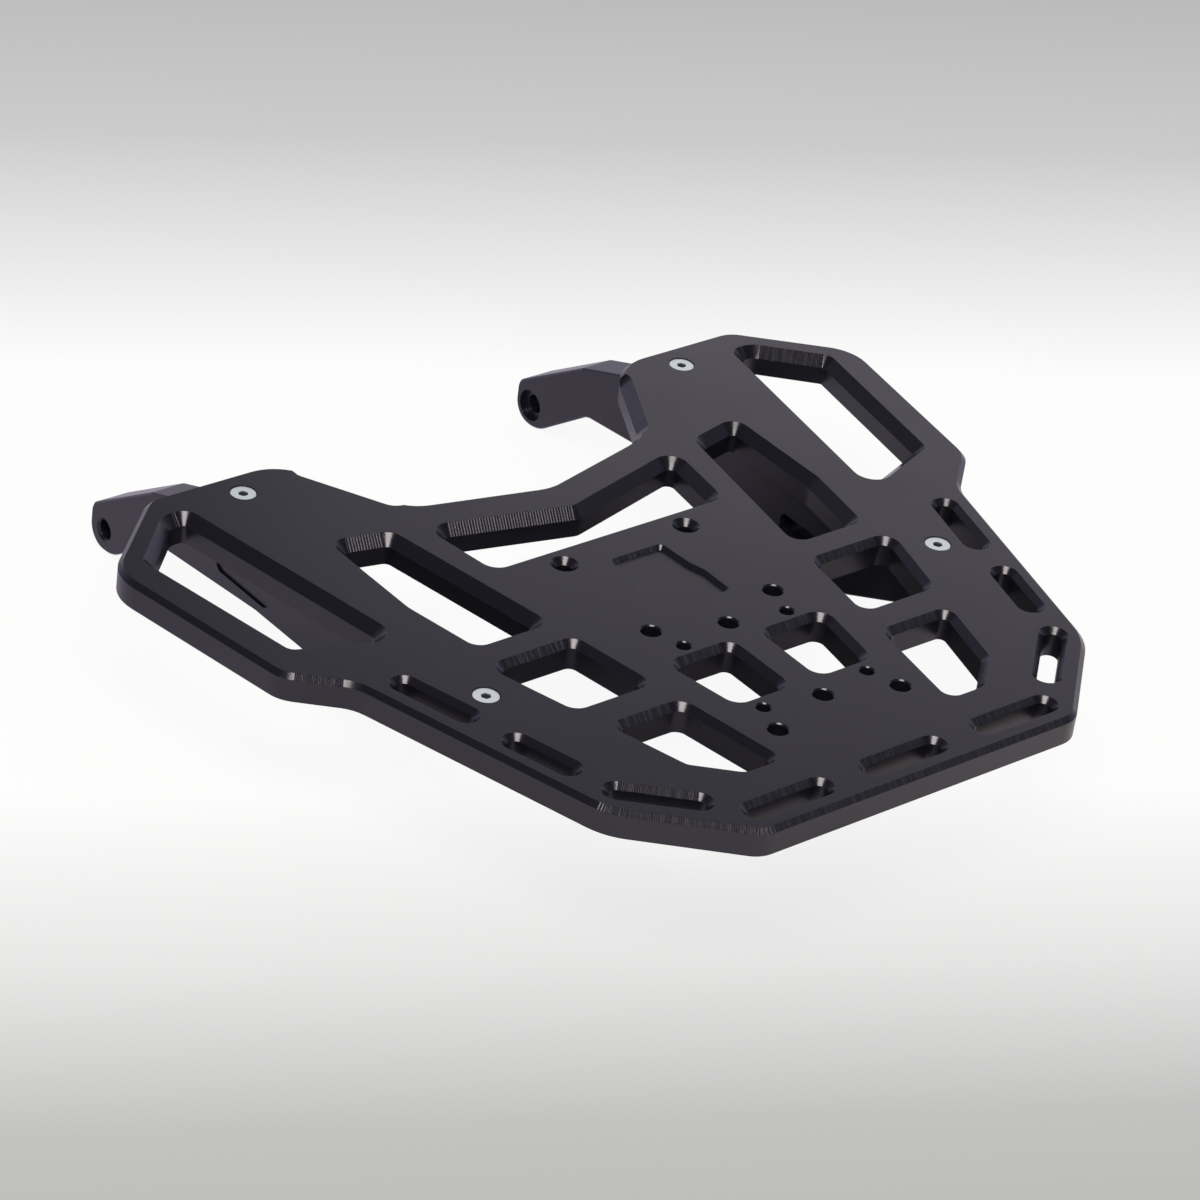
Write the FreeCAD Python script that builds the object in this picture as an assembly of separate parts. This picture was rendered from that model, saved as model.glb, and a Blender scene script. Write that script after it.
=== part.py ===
import FreeCAD, Part
import math
import os

# Motorcycle rear luggage rack: one machined top plate on two side arms, held by
# four countersunk screws.
# Millimetres. X to the right, Y forward to the seat, Z up.
# Sizes below are from the middle line, the top face and the front screws.
# Origin of the finished part: top face, at the centre of the case holes.

# Plate
PLATE_THICKNESS = 13.0
OUTER_BEVEL = 2.2
UNDER_BEVEL = 0.8
SHOULDER_BEVEL = 4.8
SHOULDER_MILL_RADIUS = 8.0
LARGE_WINDOW_BEVEL = 4.6
SMALL_WINDOW_BEVEL = 3.0
SLOT_BEVEL = 2.5

# Strap slots: width across the top edge, half of the short flat at each end
SLOT_WIDTH = 12.8
SLOT_END_FLAT = 0.01

# Shallow plain recess in the middle of the top face
RECESS_DEPTH = 1.8

# Fixing holes in the top face: half spacing from the middle line, row, radius
CASE_HOLE_X = 33.1
CASE_HOLE_ROWS = (-167.3, -248.5)
CASE_HOLE_RADIUS = 4.25
MIDDLE_HOLE_ROWS = (-177.7, -238.1)
SMALL_HOLE_X = 28.0
SMALL_HOLE_ROWS = (-182.4, -233.4)
SMALL_HOLE_RADIUS = 3.0
HOLE_BEVEL = 0.55
SUNK_HOLE_X = 33.1
SUNK_HOLE_ROW = -109.4
SUNK_HOLE_RADIUS = 3.3
SUNK_MOUTH_RADIUS = 6.1

# Countersunk screws that hold the plate to the arms
SCREW_PLACES = ((120.7, 0.0), (122.6, -172.4))
SCREW_RADIUS = 3.0
SCREW_HEAD_RADIUS = 5.5
SCREW_HEAD_RIM = 0.5
SCREW_LENGTH = 20.0
SCREW_SOCKET_SIDES = 6
SCREW_SOCKET_ACROSS = 4.0
SCREW_SOCKET_DEPTH = 2.4
SCREW_HEAD_DROP = 0.5
SCREW_CLEARANCE = 0.3
THREAD_CLEARANCE = 0.05
SEAT_CLEARANCE = 0.02
SCREW_END_ROOM = 2.0

# Side arms
ARM_INNER_X = 110.5
ARM_WIDTH = 18.0
ARM_EDGE_BEVEL = 0.8

# Cross bore at the front end of each arm
BORE_Y = 87.5
BORE_Z = -65.0
BORE_RADIUS = 4.5
BORE_MOUTH_BEVEL = 1.1
COUNTERBORE_RADIUS = 7.6
COUNTERBORE_DEPTH = 3.0

# Recesses in the arm faces
ARM_PANEL_DEPTH = 1.0
ARM_POCKET_DEPTH = 7.0

# Cutting tools run this far past a face
OVERRUN = 1.0

# A corner that shrinks with its wall keeps at least this radius
SMALLEST_CORNER = 0.2

# Corners of the right half, front to rear: x, y, corner radius
OUTLINE = (
    (65.2, -43.0, 22.0),
    (95.0, 12.2, 22.0),
    (158.9, 12.2, 13.0),
    (201.4, -26.5, 20.0),
    (184.9, -120.0, 14.0),
    (162.4, -140.0, 20.0),
    (127.6, -257.9, 30.0),
    (82.8, -298.8, 12.0),
)
OUTLINE_FRONT = (0.0, -58.4, 25.0)

FRONT_WINDOW_SIDE = ((69.1, -56.9, 8.0), (62.7, -99.75, 8.0))
FRONT_WINDOW_TOP = (0.0, -73.9, 2.0)

LONG_WINDOW = (
    (82.5, -54.2, 8.0),
    (111.9, -47.8, 7.0),
    (111.9, -105.6, 20.0),
    (104.9, -143.2, 7.0),
    (66.1, -143.2, 7.0),
)
WING_WINDOW = (
    (149.4, 0.3, 7.0),
    (161.8, 0.3, 12.0),
    (188.9, -25.2, 6.0),
    (173.4, -108.6, 5.0),
    (126.7, -125.0, 9.0),
)
FRONT_SIDE_WINDOW = (
    (64.0, -155.0, 7.0),
    (110.6, -155.0, 7.5),
    (97.5, -198.8, 7.5),
    (56.4, -198.8, 6.5),
)
MIDDLE_WINDOW = (
    (7.0, -188.0, 6.5),
    (43.7, -188.0, 7.5),
    (36.8, -227.2, 7.5),
    (6.8, -227.2, 7.0),
)
REAR_SIDE_WINDOW = (
    (53.7, -212.2, 8.0),
    (92.8, -212.2, 6.0),
    (81.8, -250.0, 6.0),
    (64.3, -265.8, 8.0),
    (44.3, -265.8, 6.0),
)

# Slot end centres
SIDE_SLOTS = (
    ((147.0, -150.5), (138.5, -179.4)),
    ((132.0, -204.8), (125.1, -228.4)),
    ((117.8, -250.6), (94.0, -272.0)),
    ((44.6, -287.4), (77.4, -287.4)),
)
MIDDLE_SLOT = ((-16.0, -287.4), (16.0, -287.4))

# Recess corners, right half
RECESS_SIDE = (
    (14.2, -115.8, 3.0),
    (15.3, -133.5, 12.0),
    (17.5, -140.5, 12.0),
    (17.5, -158.3, 2.0),
)

# Side view of an arm: y, z, corner radius
ARM_PROFILE = (
    (15.8, None, 0.0),
    (55.0, -28.0, 6.0),
    (98.0, -56.5, 6.0),
    (98.0, -75.4, 10.4),
    (81.0, -75.4, 18.0),
    (47.8, -50.4, 9.0),
    (-25.0, -42.8, 20.0),
    (-134.7, -44.2, 4.0),
    (-192.0, -19.2, 1.5),
    (-192.0, None, 0.0),
)
ARM_PANEL = (
    (9.0, -22.0, 4.0),
    (3.0, -38.0, 4.0),
    (-33.0, -38.0, 4.0),
    (-39.0, -22.0, 4.0),
)
ARM_POCKET = (
    (-88.0, -27.0, 3.0),
    (-88.0, -38.0, 3.0),
    (-130.0, -38.0, 3.0),
    (-138.0, -27.0, 3.0),
)


# Right half corners followed by the left half, in one turning sense
def mirrored(half):
    left = [(-x, y, r) for x, y, r in reversed(half)]
    return list(half) + left


# Corners moved outward by a distance; a corner radius follows its bend as far as it can
def offset_corners(corners, distance):
    count = len(corners)
    area = 0.0
    for i in range(count):
        x0, y0, _ = corners[i]
        x1, y1, _ = corners[(i + 1) % count]
        area += x0 * y1 - x1 * y0
    sense = 1.0 if area > 0 else -1.0
    moved = []
    for i in range(count):
        ax, ay, _ = corners[i - 1]
        bx, by, radius = corners[i]
        cx, cy, _ = corners[(i + 1) % count]
        before = math.atan2(by - ay, bx - ax)
        after = math.atan2(cy - by, cx - bx)
        turn = (after - before + math.pi) % (2 * math.pi) - math.pi
        middle = before + turn / 2
        reach = distance / math.cos(turn / 2)
        x = bx + sense * reach * math.sin(middle)
        y = by - sense * reach * math.cos(middle)
        if radius > 0:
            radius += distance if turn * sense > 0 else -distance
            radius = max(radius, SMALLEST_CORNER)
        moved.append((x, y, radius))
    return moved


# Closed wire of lines and corner arcs; place turns (u, v) into a point
def rounded_wire(corners, place):
    count = len(corners)
    ends = []
    for i in range(count):
        ax, ay, _ = corners[i - 1]
        bx, by, radius = corners[i]
        cx, cy, _ = corners[(i + 1) % count]
        before = math.atan2(by - ay, bx - ax)
        after = math.atan2(cy - by, cx - bx)
        turn = (after - before + math.pi) % (2 * math.pi) - math.pi
        back = radius * math.tan(abs(turn) / 2)
        start = (bx - back * math.cos(before), by - back * math.sin(before))
        end = (bx + back * math.cos(after), by + back * math.sin(after))
        bulge = radius * (1 / math.cos(turn / 2) - 1)
        inward = before + turn / 2 + math.copysign(math.pi / 2, turn)
        mid = (bx + bulge * math.cos(inward), by + bulge * math.sin(inward))
        ends.append((start, mid, end, radius > 0))
    edges = []
    for i in range(count):
        start, mid, end, is_arc = ends[i]
        if is_arc:
            edges.append(Part.Arc(place(*start), place(*mid), place(*end)).toShape())
        following = ends[(i + 1) % count][0]
        edges.append(Part.LineSegment(place(*end), place(*following)).toShape())
    return Part.Wire(edges)


def at_height(z):
    return lambda u, v: FreeCAD.Vector(u, v, z)


def at_side(x):
    return lambda u, v: FreeCAD.Vector(x, u, v)


# Straight prism between two levels
def prism(corners, place, low, high):
    face = Part.Face(rounded_wire(corners, place(low)))
    return face.extrude(place(high)(0, 0) - place(low)(0, 0))


# Solid between two matching outlines at two levels
def layer(corners_low, corners_high, place, low, high):
    wires = [rounded_wire(corners_low, place(low)), rounded_wire(corners_high, place(high))]
    return Part.makeLoft(wires, True, True)


# Prism whose edges are bevelled at 45 degrees at both ends
def bevelled_body(corners, place, low, high, bevel_low, bevel_high):
    low_face = offset_corners(corners, -bevel_low)
    high_face = offset_corners(corners, -bevel_high)
    body = prism(corners, place, low + bevel_low, high - bevel_high)
    body = body.fuse(layer(low_face, corners, place, low, low + bevel_low))
    body = body.fuse(layer(corners, high_face, place, high - bevel_high, high))
    return body.removeSplitter()


# Through cut whose mouth at the top face is top_edge, bevelled at 45 degrees
def window_tool(top_edge, bevel):
    wall = offset_corners(top_edge, -bevel)
    over = offset_corners(top_edge, OVERRUN)
    tool = prism(wall, at_height, -PLATE_THICKNESS - OVERRUN, -bevel)
    return tool.fuse(layer(wall, over, at_height, -bevel, OVERRUN))


# Four corners whose radius is nearly half the slot width
def slot_corners(ends):
    (ax, ay), (bx, by) = ends
    half = SLOT_WIDTH / 2
    length = math.hypot(bx - ax, by - ay)
    ux, uy = (bx - ax) / length, (by - ay) / length
    radius = half - SLOT_END_FLAT
    corners = []
    for x, y, along, side in ((ax, ay, -1, -1), (bx, by, 1, -1), (bx, by, 1, 1), (ax, ay, -1, 1)):
        px = x + half * (along * ux - side * uy)
        py = y + half * (along * uy + side * ux)
        corners.append((px, py, radius))
    return corners


def flip_x(corners):
    return [(-x, y, r) for x, y, r in corners]


# Round through hole with a bevelled mouth at the top face
def bevelled_hole(x, y, radius, bevel):
    down = FreeCAD.Vector(0, 0, -1)
    top = FreeCAD.Vector(x, y, OVERRUN)
    hole = Part.makeCylinder(radius, PLATE_THICKNESS + 2 * OVERRUN, top, down)
    mouth = radius + bevel + OVERRUN
    return hole.fuse(Part.makeCone(mouth, radius, bevel + OVERRUN, top, down))


# Wider bevel along the shoulder, the sloping first edge of the outline beside the arm.
# A cone-shaped mill runs between the two corner arcs and leaves a round end at each.
def shoulder_tool(side):
    points = [(x, y) for x, y, _ in (OUTLINE_FRONT, *OUTLINE[:3])]
    headings = []
    for (ax, ay), (bx, by) in zip(points, points[1:]):
        headings.append(math.atan2(by - ay, bx - ax))
    (ax, ay), (bx, by) = points[1:3]
    ux, uy = math.cos(headings[1]), math.sin(headings[1])
    start = OUTLINE[0][2] * math.tan(abs(headings[1] - headings[0]) / 2)
    end = math.hypot(bx - ax, by - ay) - OUTLINE[1][2] * math.tan(abs(headings[2] - headings[1]) / 2)
    nx, ny = -uy, ux
    inset = SHOULDER_BEVEL - OUTER_BEVEL
    reach = OUTER_BEVEL + OVERRUN
    wide = SHOULDER_BEVEL + OVERRUN

    def point(along, out, z):
        return FreeCAD.Vector(side * (ax + ux * along + nx * out), ay + uy * along + ny * out, z)

    corners = [point(start, -inset - OVERRUN, OVERRUN), point(start, reach, OVERRUN)]
    corners.append(point(start, reach, -wide))
    face = Part.Face(Part.makePolygon(corners + corners[:1]))
    tool = face.extrude(point(end, 0, 0) - point(start, 0, 0))
    for along in (start, end):
        tip = point(along, SHOULDER_MILL_RADIUS - inset, -SHOULDER_MILL_RADIUS)
        height = SHOULDER_MILL_RADIUS + OVERRUN
        tool = tool.fuse(Part.makeCone(0, height, height, tip))
    return tool


def top_plate():
    outline = mirrored([OUTLINE_FRONT] + list(OUTLINE))
    outline.pop()
    wall = offset_corners(outline, OUTER_BEVEL)
    plate = bevelled_body(wall, at_height, -PLATE_THICKNESS, 0.0, UNDER_BEVEL, OUTER_BEVEL)
    tools = []
    front_window = mirrored([FRONT_WINDOW_TOP] + list(FRONT_WINDOW_SIDE))
    front_window.pop()
    tools.append(window_tool(front_window, LARGE_WINDOW_BEVEL))
    for window, bevel in (
        (LONG_WINDOW, LARGE_WINDOW_BEVEL),
        (WING_WINDOW, LARGE_WINDOW_BEVEL),
        (FRONT_SIDE_WINDOW, SMALL_WINDOW_BEVEL),
        (MIDDLE_WINDOW, SMALL_WINDOW_BEVEL),
        (REAR_SIDE_WINDOW, SMALL_WINDOW_BEVEL),
    ):
        tools.append(window_tool(window, bevel))
        tools.append(window_tool(flip_x(window), bevel))
    for ends in SIDE_SLOTS:
        corners = slot_corners(ends)
        tools.append(window_tool(corners, SLOT_BEVEL))
        tools.append(window_tool(flip_x(corners), SLOT_BEVEL))
    tools.append(window_tool(slot_corners(MIDDLE_SLOT), SLOT_BEVEL))

    recess = mirrored(RECESS_SIDE)
    floor = offset_corners(recess, -RECESS_DEPTH)
    rim = offset_corners(recess, OVERRUN)
    tools.append(layer(floor, rim, at_height, -RECESS_DEPTH, OVERRUN))

    for side in (-1, 1):
        for row in CASE_HOLE_ROWS:
            tools.append(bevelled_hole(side * CASE_HOLE_X, row, CASE_HOLE_RADIUS, HOLE_BEVEL))
        for row in SMALL_HOLE_ROWS:
            tools.append(bevelled_hole(side * SMALL_HOLE_X, row, SMALL_HOLE_RADIUS, HOLE_BEVEL))
        sink = SUNK_MOUTH_RADIUS - SUNK_HOLE_RADIUS
        tools.append(bevelled_hole(side * SUNK_HOLE_X, SUNK_HOLE_ROW, SUNK_HOLE_RADIUS, sink))
        for x, y in SCREW_PLACES:
            tools.append(screw_seat(side * x, y))
        tools.append(shoulder_tool(side))
    for row in MIDDLE_HOLE_ROWS:
        tools.append(bevelled_hole(0.0, row, CASE_HOLE_RADIUS, HOLE_BEVEL))
    for tool in tools:
        plate = plate.cut(tool)
    return plate


def head_height():
    return SCREW_HEAD_RADIUS - SCREW_RADIUS


# Countersunk clearance hole for one screw
def screw_seat(x, y):
    down = FreeCAD.Vector(0, 0, -1)
    mouth = SCREW_HEAD_RADIUS + SCREW_CLEARANCE
    top = FreeCAD.Vector(x, y, OVERRUN)
    shank = SCREW_RADIUS + SCREW_CLEARANCE
    rim = SCREW_HEAD_DROP + SCREW_HEAD_RIM - SCREW_CLEARANCE + SEAT_CLEARANCE
    seat = Part.makeCylinder(mouth, OVERRUN + rim, top, down)
    cone_top = FreeCAD.Vector(x, y, -rim)
    seat = seat.fuse(Part.makeCone(mouth, shank, head_height(), cone_top, down))
    return seat.fuse(Part.makeCylinder(shank, PLATE_THICKNESS + 2 * OVERRUN, top, down))


# Countersunk screw with a hexagon socket
def screw(x, y):
    down = FreeCAD.Vector(0, 0, -1)
    top = FreeCAD.Vector(x, y, -SCREW_HEAD_DROP)
    body = Part.makeCylinder(SCREW_HEAD_RADIUS, SCREW_HEAD_RIM, top, down)
    cone_top = FreeCAD.Vector(x, y, -SCREW_HEAD_DROP - SCREW_HEAD_RIM)
    head = Part.makeCone(SCREW_HEAD_RADIUS, SCREW_RADIUS, head_height(), cone_top, down)
    body = body.fuse(head)
    body = body.fuse(Part.makeCylinder(SCREW_RADIUS, SCREW_LENGTH, top, down))
    corner = SCREW_SOCKET_ACROSS / 2 / math.cos(math.pi / SCREW_SOCKET_SIDES)
    points = []
    for i in range(SCREW_SOCKET_SIDES + 1):
        angle = 2 * math.pi * i / SCREW_SOCKET_SIDES
        points.append(top + FreeCAD.Vector(corner * math.cos(angle), corner * math.sin(angle), 0))
    socket = Part.Face(Part.makePolygon(points)).extrude(down * SCREW_SOCKET_DEPTH)
    return body.cut(socket).removeSplitter()


# One arm; side is 1 on the right and -1 on the left
def arm(side):
    under = -PLATE_THICKNESS
    profile = [(y, under if z is None else z, r) for y, z, r in ARM_PROFILE]
    low = ARM_INNER_X
    high = ARM_INNER_X + ARM_WIDTH
    body = bevelled_body(profile, at_side, low, high, ARM_EDGE_BEVEL, ARM_EDGE_BEVEL)
    out = FreeCAD.Vector(1, 0, 0)
    axis = FreeCAD.Vector(low - OVERRUN, BORE_Y, BORE_Z)
    body = body.cut(Part.makeCylinder(BORE_RADIUS, ARM_WIDTH + 2 * OVERRUN, axis, out))
    body = body.cut(Part.makeCylinder(COUNTERBORE_RADIUS, COUNTERBORE_DEPTH + OVERRUN, axis, out))
    mouth = FreeCAD.Vector(high - BORE_MOUTH_BEVEL, BORE_Y, BORE_Z)
    wide = BORE_RADIUS + BORE_MOUTH_BEVEL + OVERRUN
    body = body.cut(Part.makeCone(BORE_RADIUS, wide, BORE_MOUTH_BEVEL + OVERRUN, mouth, out))
    body = body.cut(prism(ARM_PANEL, at_side, high - ARM_PANEL_DEPTH, high + OVERRUN))
    body = body.cut(prism(ARM_POCKET, at_side, low - OVERRUN, low + ARM_POCKET_DEPTH))
    down = FreeCAD.Vector(0, 0, -1)
    depth = SCREW_HEAD_DROP + SCREW_LENGTH + SCREW_END_ROOM + under + OVERRUN
    for x, y in SCREW_PLACES:
        top = FreeCAD.Vector(x, y, under + OVERRUN)
        hole = Part.makeCylinder(SCREW_RADIUS + THREAD_CLEARANCE, depth, top, down)
        body = body.cut(hole)
    if side < 0:
        body = body.mirror(FreeCAD.Vector(0, 0, 0), FreeCAD.Vector(1, 0, 0))
    return body


def main():
    os.makedirs("parts", exist_ok=True)
    screws = []
    for x, y in SCREW_PLACES:
        for side in (-1, 1):
            screws.append(screw(side * x, y))
    parts = {
        "top_plate": top_plate(),
        "left_arm": arm(-1),
        "right_arm": arm(1),
        "plate_screws": Part.makeCompound(screws),
    }
    for name, shape in parts.items():
        shape.translate(FreeCAD.Vector(0, -sum(CASE_HOLE_ROWS) / 2, 0))
        shape.exportStep("parts/" + name + ".step")
        print(name, round(shape.Volume), len(shape.Solids), shape.isValid())


main()
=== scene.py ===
import math

import bmesh
import bpy
import numpy as np
from mathutils import Matrix, Vector


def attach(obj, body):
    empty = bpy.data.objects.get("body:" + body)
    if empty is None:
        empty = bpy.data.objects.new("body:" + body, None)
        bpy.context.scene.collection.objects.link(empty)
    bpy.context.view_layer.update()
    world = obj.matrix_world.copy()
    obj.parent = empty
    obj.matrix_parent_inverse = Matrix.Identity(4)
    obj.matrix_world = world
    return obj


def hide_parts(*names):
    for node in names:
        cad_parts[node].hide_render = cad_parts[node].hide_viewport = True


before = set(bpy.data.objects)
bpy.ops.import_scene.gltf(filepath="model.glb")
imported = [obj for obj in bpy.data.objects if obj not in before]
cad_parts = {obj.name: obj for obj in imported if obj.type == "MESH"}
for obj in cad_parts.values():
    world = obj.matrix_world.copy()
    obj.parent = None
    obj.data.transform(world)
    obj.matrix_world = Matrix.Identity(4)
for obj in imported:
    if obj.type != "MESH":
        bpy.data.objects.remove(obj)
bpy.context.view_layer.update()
print("frame loaded")

mm = 0.001  # Blender works in metres; the lengths in the dictionaries are millimetres


# sRGB hex colour to linear red, green, blue, alpha
def toLinear(code):
    parts = [int(code[i:i + 2], 16) / 255 for i in (1, 3, 5)]
    return [c / 12.92 if c <= 0.04045 else ((c + 0.055) / 1.055) ** 2.4 for c in parts] + [1.0]


# One node with its settings, its input values and its links, each link given as (node, output)
def addNode(tree, kind, settings=None, values=None, links=None):
    node = tree.nodes.new("ShaderNode" + kind)
    for key, value in (settings or {}).items():
        setattr(node, key, value)
    for key, value in (values or {}).items():
        node.inputs[key].default_value = value
    for key, (source, output) in (links or {}).items():
        tree.links.new(source.outputs[output], node.inputs[key])
    return node


def startMaterial(name):
    material = bpy.data.materials.new(name)
    material.use_nodes = True
    material.node_tree.nodes.clear()
    return material, material.node_tree


# Colour ramp of (place, grey) pairs, places given from 0 to 1
def fillRamp(node, stops):
    elements = node.color_ramp.elements
    while len(elements) < len(stops):
        elements.new(0.5)
    for element, (place, grey) in zip(elements, stops):
        element.position = place
        element.color = (grey, grey, grey, 1.0)


# Satin black anodised plate and arms
anodising = {
    "plateColour": "#121118",
    "plateCloud": "#16151c",
    "armColour": "#121119",
    "armCloud": "#16151e",
    "cloudSize": 60.0,  # slow drift between a colour and its cloud
    "filmTint": "#f0efff",  # faint violet cast of the oxide film in what it mirrors
    "filmIndex": 1.55,
    "roughness": 0.32,
    "roughnessSpread": 0.05,
    "grainPitch": 0.35,  # etched grain, drawn coarser than real
    "grainDepth": 0.004,
    "bevelLean": 0.15,  # a bevel's normal has a Z this near to that of 45 degrees
    "wallLean": 0.3,  # and a wall's has one below this
    "bevelRoughness": 0.22,
    "wallPitch": 0.9,  # fine cutter lines down the walls
    "wallDepth": 0.012,
    "edgeRound": 0.25,  # broken sharp edge
    "edgeSamples": 4,
}

# Chatter: marks that the cutter left across the bevels
chatter = {
    "pitch": 1.3,
    "wander": 0.25,  # how far the marks stray from that pitch
    "depth": 0.19,
    "depthRange": (0.6, 1.2),  # share of that depth in the shallow marks and in the deep ones
    "depthPatch": 2.4,  # length over which they grow deeper and shallower
    "depthNoise": (0.35, 0.65),  # noise at which they are shallow and deep
    "heading": (-0.87, 0.5),  # only cuts that run about this way leave marks
    "headingRange": (0.8, 0.9),  # none at the first cosine, in full from the second
    "slantRange": (0.3, 0.68),  # the more a cut runs fore and aft, the deeper its marks
    "slantGain": 2.2,
    "roughness": 0.4,
    "curveLimit": 0.003,  # on a round corner smooth and flat normals differ by more than this
    "rimDirection": (-0.67, -0.74),  # round corners have marks only past a line at the left rear
    "rimStart": 108.0,
}


# Run along an edge: the dot product of the place with (face normal x up) at unit length
def measureRun(tree, coord, shape):
    along = addNode(tree, "VectorMath", {"operation": "CROSS_PRODUCT"}, {1: (0, 0, 1)},
                    {0: (shape, "True Normal")})
    unit = addNode(tree, "VectorMath", {"operation": "NORMALIZE"}, links={0: (along, 0)})
    run = addNode(tree, "VectorMath", {"operation": "DOT_PRODUCT"},
                  links={0: (coord, "Object"), 1: (unit, 0)})
    return unit, run


# Bevels and walls told apart by the Z of the face normal
def sortFaces(tree, shape):
    split = addNode(tree, "SeparateXYZ", links={0: (shape, "True Normal")})
    lean = addNode(tree, "Math", {"operation": "ABSOLUTE"}, links={0: (split, 2)})
    fromBevel = addNode(tree, "Math", {"operation": "SUBTRACT"}, {1: math.sqrt(0.5)},
                        {0: (lean, 0)})
    offBevel = addNode(tree, "Math", {"operation": "ABSOLUTE"}, links={0: (fromBevel, 0)})
    onBevel = addNode(tree, "Math", {"operation": "LESS_THAN"}, {1: anodising["bevelLean"]},
                      {0: (offBevel, 0)})
    onWall = addNode(tree, "Math", {"operation": "LESS_THAN"}, {1: anodising["wallLean"]},
                     {0: (lean, 0)})
    return onBevel, onWall


# Where the chatter is: on bevels that head the right way, straight ones or past the rim line
def placeChatter(tree, coord, shape, unit, onBevel):
    bend = addNode(tree, "VectorMath", {"operation": "CROSS_PRODUCT"},
                   links={0: (shape, "Normal"), 1: (shape, "True Normal")})
    bent = addNode(tree, "VectorMath", {"operation": "LENGTH"}, links={0: (bend, 0)})
    straight = addNode(tree, "Math", {"operation": "LESS_THAN"}, {1: chatter["curveLimit"]},
                       {0: (bent, "Value")})
    outwards = addNode(tree, "VectorMath", {"operation": "DOT_PRODUCT"},
                       {1: (*chatter["rimDirection"], 0)}, {0: (coord, "Object")})
    rim = addNode(tree, "Math", {"operation": "GREATER_THAN"}, {1: chatter["rimStart"] * mm},
                  {0: (outwards, "Value")})
    marked = addNode(tree, "Math", {"operation": "MAXIMUM"}, links={0: (straight, 0), 1: (rim, 0)})
    cut = addNode(tree, "Math", {"operation": "MULTIPLY"},
                  links={0: (onBevel, 0), 1: (marked, 0)})
    heading = addNode(tree, "VectorMath", {"operation": "DOT_PRODUCT"},
                      {1: (*chatter["heading"], 0)}, {0: (unit, 0)})
    least, most = chatter["headingRange"]
    aligned = addNode(tree, "MapRange", {}, {"From Min": least, "From Max": most},
                      {"Value": (heading, "Value")})
    return addNode(tree, "Math", {"operation": "MULTIPLY"}, links={0: (cut, 0), 1: (aligned, 0)})


# How deep it is there: uneven along the cut, and deeper the more the cut runs fore and aft
def deepenChatter(tree, unit, run, share):
    uneven = addNode(tree, "TexNoise", {"noise_dimensions": "1D"},
                     {"Scale": 1 / (chatter["depthPatch"] * mm), "Detail": 0.0},
                     {"W": (run, "Value")})
    low, high = chatter["depthNoise"]
    shallow, deep = chatter["depthRange"]
    depth = addNode(tree, "MapRange", {}, {"From Min": low, "From Max": high,
                                           "To Min": shallow, "To Max": deep},
                    {"Value": (uneven, 0)})
    slant = addNode(tree, "SeparateXYZ", links={0: (unit, 0)})
    little, much = chatter["slantRange"]
    gain = addNode(tree, "MapRange", {}, {"From Min": little, "From Max": much, "To Min": 1.0,
                                          "To Max": chatter["slantGain"]},
                   {"Value": (slant, 1)})
    level = addNode(tree, "Math", {"operation": "MULTIPLY"},
                    links={0: (share, 0), 1: (depth, 0)})
    return addNode(tree, "Math", {"operation": "MULTIPLY"}, links={0: (level, 0), 1: (gain, 0)})


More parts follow.
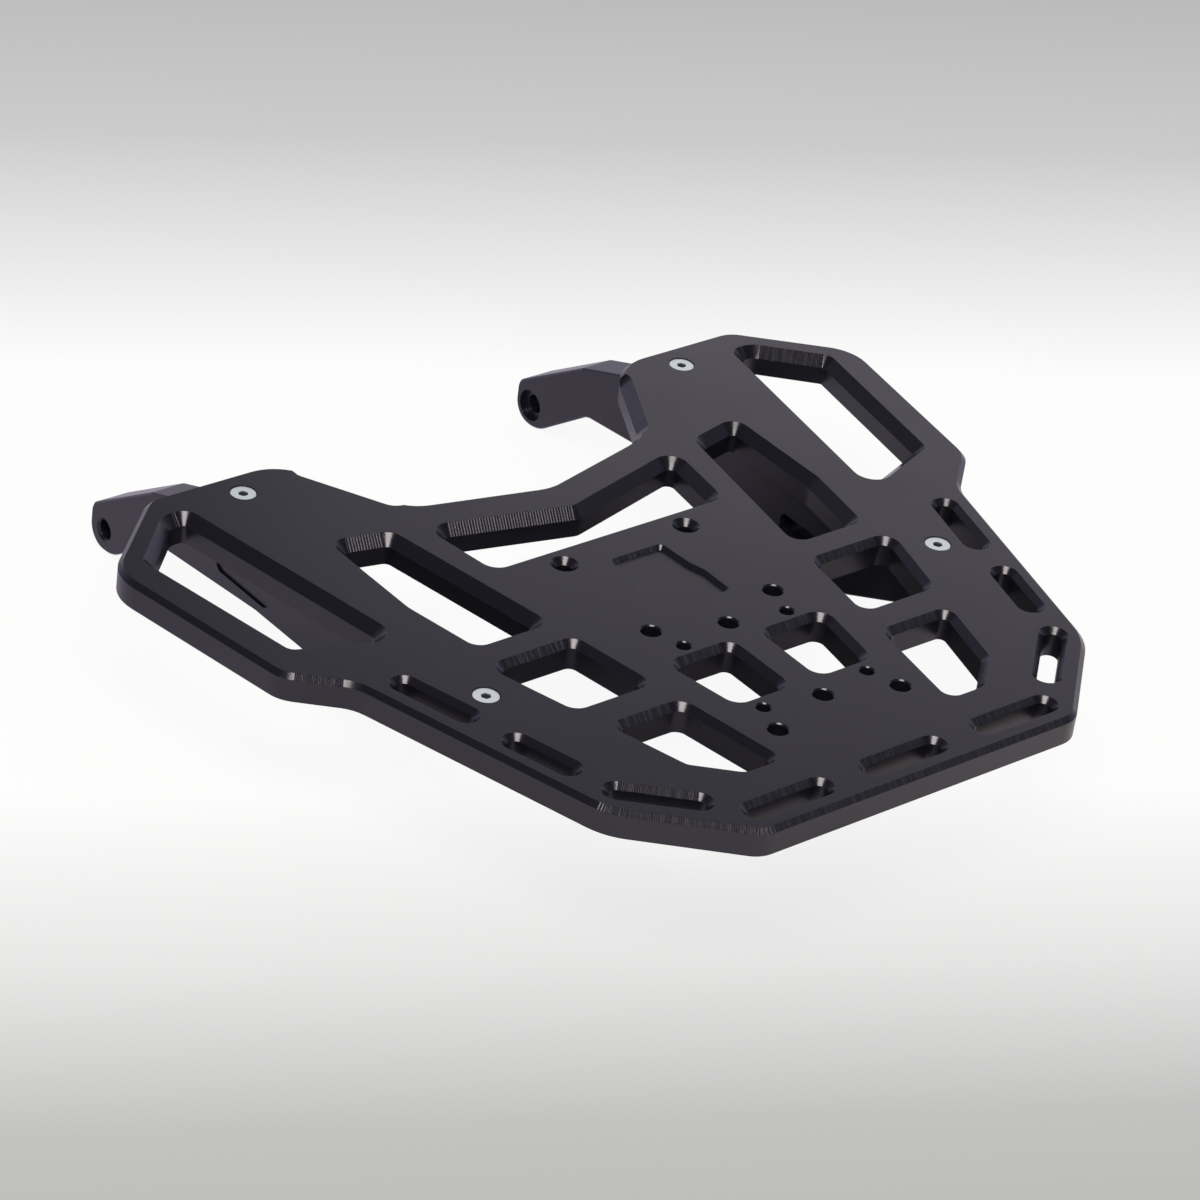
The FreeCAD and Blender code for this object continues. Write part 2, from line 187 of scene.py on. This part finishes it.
# Black anodised aluminium, etched satin on the faces, milled on the bevels and walls:
# the eye sees a near-black satin skin, and bright broken glints where a bevel meets a lamp.
def anodisedAluminium(name, colour, cloud):
    material, tree = startMaterial(name)
    look = anodising
    coord = addNode(tree, "TexCoord")
    shape = addNode(tree, "NewGeometry")
    unit, run = measureRun(tree, coord, shape)
    onBevel, onWall = sortFaces(tree, shape)
    share = placeChatter(tree, coord, shape, unit, onBevel)
    strength = deepenChatter(tree, unit, run, share)

    # A wave texture's period is 2 pi / 20 at scale 1
    marks = addNode(tree, "TexWave", {},
                    {"Scale": math.pi / 10 / (chatter["pitch"] * mm),
                     "Distortion": chatter["wander"], "Detail": 1.0, "Detail Scale": 0.7},
                    {"Vector": (run, "Value")})
    lines = addNode(tree, "TexNoise", {"noise_dimensions": "1D"},
                    {"Scale": 1 / (look["wallPitch"] * mm), "Detail": 2.0},
                    {"W": (run, "Value")})
    grain = addNode(tree, "TexNoise", {}, {"Scale": 1 / (look["grainPitch"] * mm), "Detail": 2.0},
                    {"Vector": (coord, "Object")})
    clouds = addNode(tree, "TexNoise", {}, {"Scale": 1 / (look["cloudSize"] * mm), "Detail": 4.0},
                     {"Vector": (coord, "Object")})

    rounded = addNode(tree, "Bevel", {"samples": look["edgeSamples"]},
                      {"Radius": look["edgeRound"] * mm})
    grained = addNode(tree, "Bump", {}, {"Distance": look["grainDepth"] * mm},
                      {"Height": (grain, 0), "Normal": (rounded, 0)})
    lined = addNode(tree, "Bump", {}, {"Distance": look["wallDepth"] * mm},
                    {"Height": (lines, 0), "Strength": (onWall, 0), "Normal": (grained, 0)})
    milled = addNode(tree, "Bump", {}, {"Distance": chatter["depth"] * mm},
                     {"Height": (marks, 1), "Strength": (strength, 0), "Normal": (lined, 0)})

    tone = addNode(tree, "Mix", {"data_type": "RGBA"},
                   {"A": toLinear(colour), "B": toLinear(cloud)}, {"Factor": (clouds, 0)})
    low = look["roughness"] - look["roughnessSpread"]
    high = look["roughness"] + look["roughnessSpread"]
    satin = addNode(tree, "MapRange", {}, {"To Min": low, "To Max": high}, {"Value": (clouds, 0)})
    milledGloss = addNode(tree, "Mix", {"data_type": "FLOAT"},
                          {"A": look["bevelRoughness"], "B": chatter["roughness"]},
                          {"Factor": (share, 0)})
    gloss = addNode(tree, "Mix", {"data_type": "FLOAT"},
                    links={"Factor": (onBevel, 0), "A": (satin, 0), "B": (milledGloss, 0)})
    skin = addNode(tree, "BsdfPrincipled", {},
                   {"Metallic": 0.0, "IOR": look["filmIndex"],
                    "Specular Tint": toLinear(look["filmTint"])},
                   {"Base Color": (tone, 2), "Roughness": (gloss, 0), "Normal": (milled, 0)})
    addNode(tree, "OutputMaterial", links={"Surface": (skin, 0)})
    return material


# Zinc-plated screw heads
zincPlating = {
    "colour": "#e1ebf5",
    "stain": "#ccd6e0",
    "metallic": 0.35,
    "roughness": 0.38,
    "grainPitch": 0.5,
    "grainDepth": 0.01,
    "socketShade": "#4c5158",  # little light reaches the hexagon socket
    "socketTop": 0.5,  # the shade starts this far below the top face and is full at the next
    "socketDeep": 1.3,
}


# Zinc-plated steel, bright blue-white with a soft spangle
def zincPlatedSteel(name):
    material, tree = startMaterial(name)
    look = zincPlating
    coord = addNode(tree, "TexCoord")
    grain = addNode(tree, "TexNoise", {}, {"Scale": 1 / (look["grainPitch"] * mm), "Detail": 3.0},
                    {"Vector": (coord, "Object")})
    tone = addNode(tree, "Mix", {"data_type": "RGBA"},
                   {"A": toLinear(look["colour"]), "B": toLinear(look["stain"])},
                   {"Factor": (grain, 0)})
    split = addNode(tree, "SeparateXYZ", links={0: (coord, "Object")})
    deep = addNode(tree, "MapRange", {}, {"From Min": -look["socketTop"] * mm,
                                          "From Max": -look["socketDeep"] * mm},
                   {"Value": (split, 2)})
    shaded = addNode(tree, "Mix", {"data_type": "RGBA"}, {"B": toLinear(look["socketShade"])},
                     {"Factor": (deep, 0), "A": (tone, 2)})
    bump = addNode(tree, "Bump", {}, {"Distance": look["grainDepth"] * mm},
                   {"Height": (grain, 0)})
    skin = addNode(tree, "BsdfPrincipled", {},
                   {"Metallic": look["metallic"], "Roughness": look["roughness"]},
                   {"Base Color": (shaded, 2), "Normal": (bump, 0)})
    addNode(tree, "OutputMaterial", links={"Surface": (skin, 0)})
    return material


armFinish = anodisedAluminium("anodisedArm", anodising["armColour"], anodising["armCloud"])
finishes = {
    "top_plate": anodisedAluminium("anodisedPlate", anodising["plateColour"],
                                   anodising["plateCloud"]),
    "left_arm": armFinish,
    "right_arm": armFinish,
    "plate_screws": zincPlatedSteel("zincPlatedScrew"),
}
for node, finish in finishes.items():
    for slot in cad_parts[node].material_slots:
        slot.material = finish
print("materials assigned")

# Rear bend of the arms, whose outer lower edge is filed back
armBend = {
    "place": (73.2, -44.2),  # Y and Z
    "reach": 14.0,
    "height": 9.0,  # only what is lower than this above the bend moves
    "outerSide": 127.0,  # and only what is further out than this
    "lift": 2.2,
    "mergeDistance": 0.001,
}


# Merged copy of a node's mesh, and the corner normals that the node had, which an attribute
# carries through the merge
def copyMerged(node, name):
    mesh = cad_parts[node].data.copy()
    mesh.name = name
    normals = np.empty(len(mesh.loops) * 3, dtype=np.float32)
    mesh.corner_normals.foreach_get("vector", normals)
    kept = mesh.attributes.new("smoothNormal", "FLOAT_VECTOR", "CORNER")
    kept.data.foreach_set("vector", normals)
    merged = bmesh.new()
    merged.from_mesh(mesh)
    bmesh.ops.remove_doubles(merged, verts=merged.verts, dist=armBend["mergeDistance"] * mm)
    merged.to_mesh(mesh)
    merged.free()
    kept = mesh.attributes["smoothNormal"]
    normals = np.empty(len(mesh.loops) * 3, dtype=np.float32)
    kept.data.foreach_get("vector", normals)
    mesh.attributes.remove(kept)
    return mesh, normals.reshape(-1, 3)


# Copy of an arm whose outer lower edge is raised near the bend by lift x exp(-(distance/reach)^2)
def dressArm(node, name):
    bend = armBend
    mesh, normals = copyMerged(node, name)
    points = np.empty(len(mesh.vertices) * 3)
    mesh.vertices.foreach_get("co", points)
    points = points.reshape(-1, 3)
    y, z = (at * mm for at in bend["place"])
    near = np.exp(-((points[:, 1] - y) / (bend["reach"] * mm)) ** 2)
    low = points[:, 2] < z + bend["height"] * mm
    outer = np.abs(points[:, 0]) > bend["outerSide"] * mm
    points[:, 2] += bend["lift"] * mm * near * (low & outer)
    mesh.vertices.foreach_set("co", points.reshape(-1))
    mesh.shade_smooth()
    mesh.normals_split_custom_set(normals.tolist())
    mesh.update()
    piece = bpy.data.objects.new(name, mesh)
    bpy.context.collection.objects.link(piece)
    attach(piece, "root")
    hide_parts(node)


dressArm("left_arm", "leftArmDressed")
dressArm("right_arm", "rightArmDressed")
print("arms dressed")

# The photograph's camera: target on the top face, angles and distance
cameraView = {
    "target": (-37.3, 69.2, 0.0),
    "azimuth": -42.834,
    "elevation": 31.984,
    "roll": 8.081,
    "distance": 1921.3,
    "focalPixels": 4641.4,
    "imagePixels": 1200,
    "sensorWidth": 36.0,
}


# Unit vector towards an azimuth (0 from the rear, 90 from the right) and an elevation
def towards(azimuth, elevation):
    turn, rise = math.radians(azimuth), math.radians(elevation)
    return Vector((math.sin(turn) * math.cos(rise), -math.cos(turn) * math.cos(rise),
                   math.sin(rise)))


# Camera behind the target along the view, turned by its roll
def buildCamera():
    view = cameraView
    back = towards(view["azimuth"], view["elevation"])
    azimuth, roll = math.radians(view["azimuth"]), math.radians(view["roll"])
    level = Vector((math.cos(azimuth), math.sin(azimuth), 0))
    rise = back.cross(level)
    right = math.cos(roll) * level + math.sin(roll) * rise
    up = back.cross(right)
    data = bpy.data.cameras.new("camera")
    data.sensor_width = view["sensorWidth"]
    data.lens = view["focalPixels"] * view["sensorWidth"] / view["imagePixels"]
    camera = bpy.data.objects.new("camera", data)
    camera.matrix_world = Matrix.Translation(
        (Vector(view["target"]) + back * view["distance"]) * mm
    ) @ Matrix((right, up, back)).transposed().to_4x4()
    bpy.context.collection.objects.link(camera)
    bpy.context.scene.camera = camera


buildCamera()
bpy.context.scene.view_settings.view_transform = "Standard"
print("camera placed")

# Lamps: azimuth and elevation as seen from the rack, distance, size, radiance, tint
lamps = {
    "rearSoftbox": (-43.0, 58.0, 1700.0, (880.0, 540.0), 14.0, "#fff7ea"),
    "farPanel": (127.0, 23.7, 1500.0, (1090.0, 420.0), 0.97, "#fff8f8"),
}


# Area lamp aimed at the rack; its power is radiance x pi x area
def addLamp(name, azimuth, elevation, distance, size, radiance, tint):
    width, height = (side * mm for side in size)
    data = bpy.data.lights.new(name, "AREA")
    data.shape = "RECTANGLE"
    data.size, data.size_y = width, height
    data.energy = radiance * math.pi * width * height
    data.color = toLinear(tint)[:3]
    lamp = bpy.data.objects.new(name, data)
    back = towards(azimuth, elevation)
    centre = Vector(cameraView["target"]) * mm
    lamp.location = centre + back * distance * mm
    lamp.rotation_euler = (-back).to_track_quat("-Z", "Y").to_euler()
    bpy.context.collection.objects.link(lamp)


for name, values in lamps.items():
    addLamp(name, *values)
print("lamps placed")


# 1 for the rays that show the studio itself: to the camera, in gloss and through glass
def findSeen(tree, rays):
    seen = addNode(tree, "Math", {"operation": "MAXIMUM"},
                   links={0: (rays, "Is Camera Ray"), 1: (rays, "Is Glossy Ray")})
    return addNode(tree, "Math", {"operation": "MAXIMUM"},
                   links={0: (seen, 0), 1: (rays, "Is Transmission Ray")})


# Studio walls: pairs of elevation's sine and the grey there, and the light that they give
walls = {
    "ramp": ((0.0, 0.8), (0.2, 0.64), (0.4, 0.36), (0.56, 0.12), (1.0, 0.03)),
    "tint": "#e6e5ff",
    "ambient": 0.42,  # grey of the even light on the rack
}


# Pale studio: even grey for soft light; pale walls and a dark ceiling for the eye and for gloss
def buildWorld():
    world = bpy.data.worlds.new("studio")
    bpy.context.scene.world = world
    world.use_nodes = True
    tree = world.node_tree
    tree.nodes.clear()
    coord = addNode(tree, "TexCoord")
    split = addNode(tree, "SeparateXYZ", links={0: (coord, "Generated")})
    ramp = addNode(tree, "ValToRGB", links={"Fac": (split, 2)})
    fillRamp(ramp, walls["ramp"])
    shown = addNode(tree, "Background", {}, {"Color": toLinear(walls["tint"])},
                    {"Strength": (ramp, 0)})
    even = addNode(tree, "Background", {}, {"Color": (walls["ambient"],) * 3 + (1,)})
    seen = findSeen(tree, addNode(tree, "LightPath"))
    mix = addNode(tree, "MixShader", links={0: (seen, 0), 1: (even, 0), 2: (shown, 0)})
    addNode(tree, "OutputWorld", links={"Surface": (mix, 0)})


buildWorld()

# Sweep of pale paper below the rack
paper = {
    "level": -76.0,
    "size": 9000.0,
    "cells": 24,
    "colour": "#f2f2f2",
    "shade": 0.08,  # part of the paper that takes shadows
    "bandDirection": (0.468, 0.883),  # its grey changes along this, lightest under the rack
    # Place along that direction, and the grey there
    "bandRamp": ((-354.0, 0.41), (-201.0, 0.51), (-102.0, 0.79), (15.0, 1.0), (365.0, 1.0),
                 (472.0, 0.815), (607.0, 0.59), (832.0, 0.46)),
    "shadowCentre": (-10.0, 50.0),  # in reflections a painted shadow darkens it here, below the rack
    "shadowReach": (190.0, 190.0),
    "shadowFade": (0.6, 1.35),
    "shadowLight": 0.05,
    "sideDirection": (0.2, -0.98),  # and painted shade makes it cooler and dimmer in front of the rack than behind it
    "sideRange": (-280.0, 120.0),
    "shadedAndLitTints": ("#c8bfd3", "#fff4f2"),
}


# Grey of the paper as the camera sees it: a ramp over the run across the bands
def paperBands(tree, coord):
    low, high = paper["bandRamp"][0][0], paper["bandRamp"][-1][0]
    run = addNode(tree, "VectorMath", {"operation": "DOT_PRODUCT"},
                  {1: (*paper["bandDirection"], 0)}, {0: (coord, "Object")})
    place = addNode(tree, "MapRange", {}, {"From Min": low * mm, "From Max": high * mm},
                    {"Value": (run, "Value")})
    ramp = addNode(tree, "ValToRGB", links={"Fac": (place, 0)})
    fillRamp(ramp, [((at - low) / (high - low), grey) for at, grey in paper["bandRamp"]])
    return ramp


# Light of the paper in reflections, with a painted shadow below the rack: a smooth step over the
# distance from the rack's middle
def paperPaintedShadow(tree, coord):
    scale = [1 / (reach * mm) for reach in paper["shadowReach"]]
    middle = [-at * mm * size for at, size in zip(paper["shadowCentre"], scale)]
    under = addNode(tree, "Mapping", {}, {"Location": (*middle, 0), "Scale": (*scale, 0)},
                    {"Vector": (coord, "Object")})
    reach = addNode(tree, "VectorMath", {"operation": "LENGTH"}, links={0: (under, 0)})
    inner, outer = paper["shadowFade"]
    return addNode(tree, "MapRange", {"interpolation_type": "SMOOTHSTEP"},
                   {"From Min": inner, "From Max": outer, "To Min": paper["shadowLight"]},
                   {"Value": (reach, "Value")})


# Tint of the paper in reflections, with painted shade: cool and dim in front, warm behind
def paperPaintedSideShade(tree, coord):
    side = addNode(tree, "VectorMath", {"operation": "DOT_PRODUCT"},
                   {1: (*paper["sideDirection"], 0)}, {0: (coord, "Object")})
    least, most = (at * mm for at in paper["sideRange"])
    turn = addNode(tree, "MapRange", {}, {"From Min": least, "From Max": most},
                   {"Value": (side, "Value")})
    cool, warm = (toLinear(tint) for tint in paper["shadedAndLitTints"])
    return addNode(tree, "Mix", {"data_type": "RGBA"}, {"A": cool, "B": warm},
                   {"Factor": (turn, 0)})


# Pale matt paper, white under the rack and greyer in front of it and behind it: the eye sees a
# plain sweep with a faint shadow. In reflections it carries a painted shadow below the rack and
# painted shade, cooler and dimmer, in front of it
def palePaper():
    material, tree = startMaterial("palePaper")
    coord = addNode(tree, "TexCoord")
    bands = paperBands(tree, coord)
    # painted shadow below the rack, seen in reflections
    paintedShadow = paperPaintedShadow(tree, coord)
    # painted shade, cooler and dimmer in front of the rack, seen in reflections
    sideShade = paperPaintedSideShade(tree, coord)
    rays = addNode(tree, "LightPath")
    # the painted shadow dims the paper in reflections; the camera sees the paper in full
    strength = addNode(tree, "Math", {"operation": "MAXIMUM"},
                       links={0: (paintedShadow, 0), 1: (rays, "Is Camera Ray")})
    tone = addNode(tree, "Mix", {"data_type": "RGBA"},
                   links={"Factor": (rays, "Is Camera Ray"), "A": (sideShade, 2), "B": (bands, 0)})
    glow = addNode(tree, "Emission", links={"Color": (tone, 2), "Strength": (strength, 0)})
    matt = addNode(tree, "BsdfDiffuse", {}, {"Color": toLinear(paper["colour"])})
    share = addNode(tree, "Math", {"operation": "MULTIPLY"}, {1: 1 - paper["shade"]},
                    {0: (findSeen(tree, rays), 0)})
    mix = addNode(tree, "MixShader", links={0: (share, 0), 1: (matt, 0), 2: (glow, 0)})
    addNode(tree, "OutputMaterial", links={"Surface": (mix, 0)})
    return material


# Floor grid: x and y run evenly over two parameters, z is constant
def buildFloor():
    cells = paper["cells"]
    side = np.linspace(-0.5, 0.5, cells + 1) * paper["size"] * mm
    x, y = np.meshgrid(side, side)
    points = np.stack([x, y, np.full_like(x, paper["level"] * mm)], -1).reshape(-1, 3)
    first = (np.arange(cells)[:, None] * (cells + 1) + np.arange(cells)).reshape(-1)
    faces = np.stack([first, first + 1, first + cells + 2, first + cells + 1], -1)
    mesh = bpy.data.meshes.new("floor")
    mesh.from_pydata(points.tolist(), [], faces.tolist())
    mesh.materials.append(palePaper())
    floor = bpy.data.objects.new("floor", mesh)
    bpy.context.collection.objects.link(floor)


buildFloor()
print("studio built")
